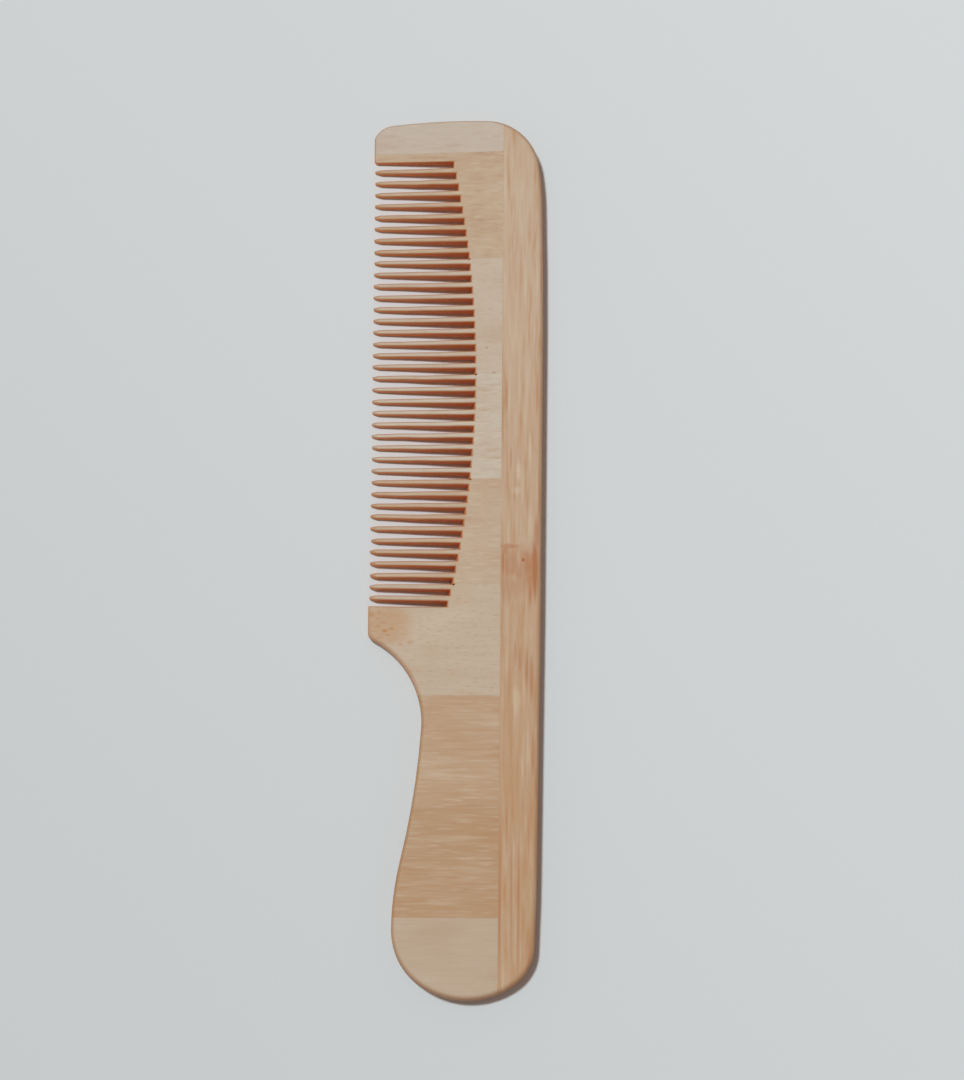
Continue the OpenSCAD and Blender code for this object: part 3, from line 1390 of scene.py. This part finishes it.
@dataclass(frozen=True)
class BambooFinish:
    """Bare sanded bamboo of one strip.

    Colours are those the strip shows in soft daylight. brown is what its streaks and flecks tend
    to, pale what its dashes and light streaks tend to, and edge what its rounded rims tend to:
    partly the edge wood's own darker colour, partly painted shade of the rounding. cut is what its
    upright
    sides tend to: partly the saw-cut wood's colour, partly painted light, a painted shade in the
    plain finish and a painted warm glow in the teeth's finish. Below cut_from, counted from the
    middle of the length, the sides are sanded and paler, taking only cut_left of their share of
    cut.
    """

    slot: str
    tone: Colour
    seed: float
    grain: Grain = Grain.ACROSS
    brown: Colour = (168, 128, 92)
    pale: Colour = (204, 190, 168)
    # Rim tint: partly the edge wood's darker colour, partly painted shade of the rounding
    edge: Colour = (168, 128, 92)
    # Tint of upright faces: partly the saw-cut wood's colour, partly painted shade
    cut: Colour = (172, 100, 60)
    stain: Colour = (150, 84, 52)
    lower_tone: Colour | None = None
    tone_fade: Pair = (80.0, -90.0)
    cut_from: float | None = None
    cut_fade: float = 0.4
    cut_left: float = 0.25
    fine: float = 0.25
    streak: float = 0.25
    cloud: float = 0.25
    dash: float = 0.0
    fleck: float = 0.0
    # Share of the upright-face tint, which is partly painted light
    wall: float = 0.3
    # Share of the rim tint on the rounded rims, which is partly painted shade
    rim: float = 0.55
    roughness: float = 0.6
    roughness_spread: float = 0.07
    shine: float = 0.25
    bump: float = 0.35
    bump_depth: float = 0.03
    seed_shift: Triple = (37.0, 11.0, 5.0)
    middle: float = 0.5
    brown_at: float = 0.78
    pale_at: float = 0.22
    pale_share: float = 0.6
    fine_relief: float = 0.6
    fine_range: Pair = (0.2, 0.8)
    marks: tuple[Mark, ...] = ()

    def figure(self, graph: Graph, colour: object, shade: Callable[[Colour], tuple],
               fibres: Sockets) -> Socket:
        """Lays the clouds, the streaks and the fine lines over the tone.

        Args:
            graph: The material's graph.
            colour: The strip's tone.
            shade: Turns a screen colour into the surface's.
            fibres: The pattern of the fibres.

        Returns:
            The figured colour.
        """
        for amount, label in ((self.cloud, "Cloud"), (self.streak, "Streak"), (self.fine, "Fine")):
            for tint, end, most in ((self.brown, self.brown_at, amount),
                                    (self.pale, self.pale_at, amount * self.pale_share)):
                share = graph.ramp(fibres[label], self.middle, end, 0.0, most)
                colour = graph.mix(share, colour, shade(tint))
        return colour

    def build(self, groups: dict[str, Tree], light: StudioLight) -> bpy.types.Material:
        """Builds the material.

        Args:
            groups: The shared node groups by name.
            light: The light that the colours are meant for.

        Returns:
            The material, named for its slot.
        """
        material, graph, shader = start_material(self.slot)
        shade = functools.partial(linear, level=light.level)
        where = graph.add("TexCoord").outputs["Object"]
        scale = (1 / MM, 1 / MM, 1 / MM)
        place = graph.add("Mapping", where, named={"Scale": scale}).outputs[0]
        grain = graph.add("Mapping", where, named={
            "Scale": scale, "Location": [self.seed * step for step in self.seed_shift],
            "Rotation": (0, 0, math.pi / 2 if self.grain is Grain.ALONG else 0)}).outputs[0]
        height = graph.add("SeparateXYZ", place).outputs["Y"]
        fibres = graph.add("Group", grain, node_tree=groups["fibres"]).outputs
        colour: object = shade(self.tone)
        if self.lower_tone:
            colour = graph.mix(graph.ramp(height, *self.tone_fade), colour, shade(self.lower_tone))
        colour = self.figure(graph, colour, shade, fibres)
        spots = (self.fleck, FLECKS, self.brown), (self.dash, DASHES, self.pale)
        for share, sizes, tint in spots:
            if share:
                mask = graph.add("Group", grain, node_tree=groups["dashes"], named=sizes).outputs[0]
                colour = graph.mix(graph.times(mask, share), colour, shade(tint))
        for dark, tint in ((False, self.pale), (True, self.stain)):
            stained: object = 0.0
            for mark in (mark for mark in self.marks if mark.dark is dark):
                stain = mark.mask(graph, place, fibres["Streak"])
                stained = graph.math("MAXIMUM", stained, stain)
            if stained:
                colour = graph.mix(stained, colour, shade(tint))
        # Rims take the edge colour: partly the edge wood's darker colour, partly painted shade of
        # the rounding
        sides = graph.add("Group", node_tree=groups["sides"]).outputs
        rim = graph.times(sides["Rim"], self.rim)
        colour = graph.mix(rim, colour, shade(self.edge))
        # Upright faces take the cut colour: partly the saw-cut wood's colour, partly painted light,
        # a shade in the plain finish and a warm glow in the teeth's
        saw_colour_and_painted_light = graph.times(sides["Wall"], self.wall)
        if self.cut_from is not None:
            saw_colour_and_painted_light = graph.times(saw_colour_and_painted_light, graph.ramp(
                height, self.cut_from - self.cut_fade, self.cut_from, self.cut_left, 1.0))
        relief = graph.math("ADD", graph.times(fibres["Fine"], self.fine_relief), fibres["Streak"])
        bump = graph.add("Bump", named={
            "Strength": self.bump, "Distance": self.bump_depth * MM, "Height": relief})
        graph.fill(shader, {
            "Base Color": graph.mix(saw_colour_and_painted_light, colour, shade(self.cut)),
            "Roughness": graph.ramp(
                fibres["Fine"], *self.fine_range, self.roughness - self.roughness_spread,
                self.roughness + self.roughness_spread, False),
            "Specular IOR Level": self.shine,
            "Normal": bump.outputs[0]})
        return material


@dataclass(frozen=True)
class ToothFinish(BambooFinish):
    """Bamboo of a stave with teeth, with warmer walls and rims that are partly painted light."""

    # Rim tint: partly the edge wood's colour, partly painted shade of the teeth's rounded edges
    edge: Colour = (174, 118, 76)
    # Bright orange for the walls: partly the saw-cut wood's colour, partly a painted glow of light
    # that passes through the thin teeth and bounces between them
    cut: Colour = (220, 142, 80)
    wall: float = 0.95
    rim: float = 0.85


def stains(*rows: tuple[float, ...], dark: bool = True) -> tuple[Mark, ...]:
    """Makes stains from rows of place, half sizes and strength."""
    return tuple(Mark(*row, dark=dark) for row in rows)


NODE_MARKS = stains(
    (13.4, -2.6, 5.6, 5.0, 0.4), (12.4, -6.0, 4.6, 4.2, 0.28), (11.3, 1.5, 3.0, 0.7, 0.5),
    (10.4, 0.6, 1.0, 1.6, 0.45), (14.1, -1.35, 0.5, 0.6, 0.95), (16.5, -3.3, 1.0, 8.0, 0.85),
    (16.3, -1.2, 1.3, 2.6, 0.6), (15.1, -2.6, 1.6, 3.8, 0.55), (14.6, -0.6, 1.8, 1.6, 0.5),
    (15.4, -5.4, 1.2, 2.8, 0.45), (9.9, -2.0, 0.5, 5.0, 0.6), (10.7, -2.6, 0.5, 4.4, 0.5),
    (11.6, -3.8, 1.5, 0.9, 0.5), (13.1, -4.6, 1.8, 0.9, 0.4), (10.0, -7.4, 0.6, 4.6, 0.4),
    (11.3, -7.6, 0.5, 4.0, 0.35), (12.6, -7.0, 0.5, 3.6, 0.3), (15.6, -8.0, 0.7, 4.8, 0.45),
    (16.8, 4.0, 0.7, 5.2, 0.5)) + stains(
    (13.1, -1.2, 0.6, 2.2, 0.75), (12.3, -5.0, 0.6, 1.4, 0.45), dark=False)

SPINE_MARKS = stains(
    (10.4, 33.0, 0.4, 5.0, 0.4), (16.8, 34.0, 0.4, 6.0, 0.35), (11.4, 20.0, 0.3, 3.4, 0.4),
    (13.6, -22.0, 0.6, 4.0, 0.4), (15.0, -24.0, 0.45, 5.5, 0.5), (16.0, -26.0, 0.6, 6.0, 0.5),
    (12.6, -21.0, 0.5, 3.0, 0.4), (16.4, -42.0, 0.5, 6.0, 0.4), (11.1, -57.0, 0.35, 7.0, 0.35),
    (15.6, -58.0, 0.3, 7.0, 0.3), (9.75, -70.0, 0.45, 24.0, 0.5), (12.1, -72.0, 0.3, 18.0, 0.35),
    (13.6, -73.0, 0.35, 18.0, 0.4), (15.8, -82.0, 0.9, 7.0, 0.4)) + stains(
    (15.4, 22.0, 0.5, 4.4, 0.5), (13.0, 17.5, 0.7, 3.0, 0.6), (12.6, 13.2, 1.2, 1.2, 0.5),
    (10.8, -22.0, 0.6, 4.4, 0.4), (13.0, -30.5, 1.0, 3.4, 0.45), dark=False)

NECK_MARKS = stains(
    (-13.9, -15.2, 6.4, 5.2, 0.42), (-14.5, -16.2, 1.0, 0.55, 0.9),
    (-13.2, -15.7, 0.8, 0.45, 0.85), (-15.9, -15.1, 0.8, 0.45, 0.75),
    (-13.9, -17.1, 0.9, 0.4, 0.75), (-12.1, -17.4, 0.8, 0.35, 0.45), (-16.9, -14.7, 0.7, 0.4, 0.5),
    (-15.7, -12.3, 1.1, 0.55, 0.55), (-17.1, -12.7, 1.2, 1.0, 0.55), (-13.6, -13.4, 1.2, 0.5, 0.5),
    (-12.2, -13.0, 1.0, 0.45, 0.45), (-11.1, -14.4, 1.1, 0.45, 0.45),
    (-11.8, -16.2, 1.2, 0.5, 0.45), (-10.5, -16.9, 1.1, 0.45, 0.4), (-12.9, -14.8, 1.2, 0.5, 0.5),
    (-14.7, -14.4, 1.3, 0.6, 0.65), (-16.0, -13.7, 1.1, 0.5, 0.55), (-16.7, -16.2, 1.3, 0.6, 0.55),
    (-15.3, -17.6, 1.4, 0.6, 0.5), (-13.4, -18.2, 1.3, 0.5, 0.45), (-9.2, -18.6, 1.1, 0.45, 0.4),
    (-11.2, -19.2, 1.1, 0.45, 0.4))

SEAM_MARKS = stains(
    (7.75, 38.2, 0.5, 0.3, 0.5), (6.2, 43.6, 0.35, 0.28, 0.5))


def main() -> None:
    """Builds the comb piece by piece, then its floor, light and camera."""
    logging.basicConfig(level=logging.INFO, format="%(message)s")
    shape = CombShape()
    light = StudioLight()
    groups = {kind.name: kind.build() for kind in (FibreGroup(), DashGroup(), SideGroup())}
    stave = functools.partial(ToothedStave, shape=shape, rng=random.Random(TOOTH_SEED))
    grip = functools.partial(BambooFinish, fine=0.2, streak=0.42, dash=0.28)
    pieces = [
        (Spine("spine", shape), BambooFinish(
            "spine_bamboo", (189, 163, 138), 1.0, Grain.ALONG, brown=(176, 128, 82),
            pale=(200, 182, 156), stain=(164, 96, 50), lower_tone=(179, 144, 110), fine=0.3,
            streak=0.75, rim=0.45, marks=NODE_MARKS + SPINE_MARKS)),
        (GuardStave("guard_stave", shape), BambooFinish(
            "guard_bamboo", (187, 172, 156), 2.0, fine=0.2, streak=0.2, cloud=0.15)),
        (stave("tooth_stave_1", first=0, last=8), ToothFinish(
            "tooth_bamboo_1", (184, 159, 132), 3.0, brown=(162, 120, 82), streak=0.35, dash=0.35)),
        (stave("tooth_stave_2", first=9, last=18), ToothFinish(
            "tooth_bamboo_2", (188, 170, 150), 4.0, fine=0.15, streak=0.15, fleck=0.2,
            marks=SEAM_MARKS)),
        (stave("tooth_stave_3", first=19, last=27), ToothFinish(
            "tooth_bamboo_3", (190, 176, 158), 5.0, streak=0.35, dash=0.5)),
        (stave("tooth_stave_4", first=28, last=36), ToothFinish(
            "tooth_bamboo_4", (184, 159, 134), 6.0, streak=0.2, dash=0.3)),
        (stave("neck_stave", first=37, last=38), ToothFinish(
            "neck_bamboo", (187, 168, 146), 7.0, brown=(172, 130, 90), stain=(176, 124, 70),
            fine=0.15, streak=0.15, fleck=0.38, rim=0.35, cut_from=-11.2, marks=NECK_MARKS)),
        (PlainStave("grip_stave_1", shape), grip(
            "grip_bamboo_1", (180, 149, 118), 8.0, brown=(168, 122, 80))),
        (PlainStave("grip_stave_2", shape), grip(
            "grip_bamboo_2", (175, 141, 107), 9.0, brown=(166, 118, 74))),
        (PlainStave("end_stave", shape, open_low=True), BambooFinish(
            "end_bamboo", (182, 160, 137), 10.0, brown=(168, 132, 98), fine=0.15, streak=0.1,
            fleck=0.15)),
    ]
    for piece, finish in pieces:
        obj = piece.build()
        obj.data.materials.append(finish.build(groups, light))
        LOG.info("%s: %d faces", obj.name, len(obj.data.polygons))
    Floor().build(light)
    light.build()
    PhotoCamera().build()


if __name__ == "__main__":
    main()
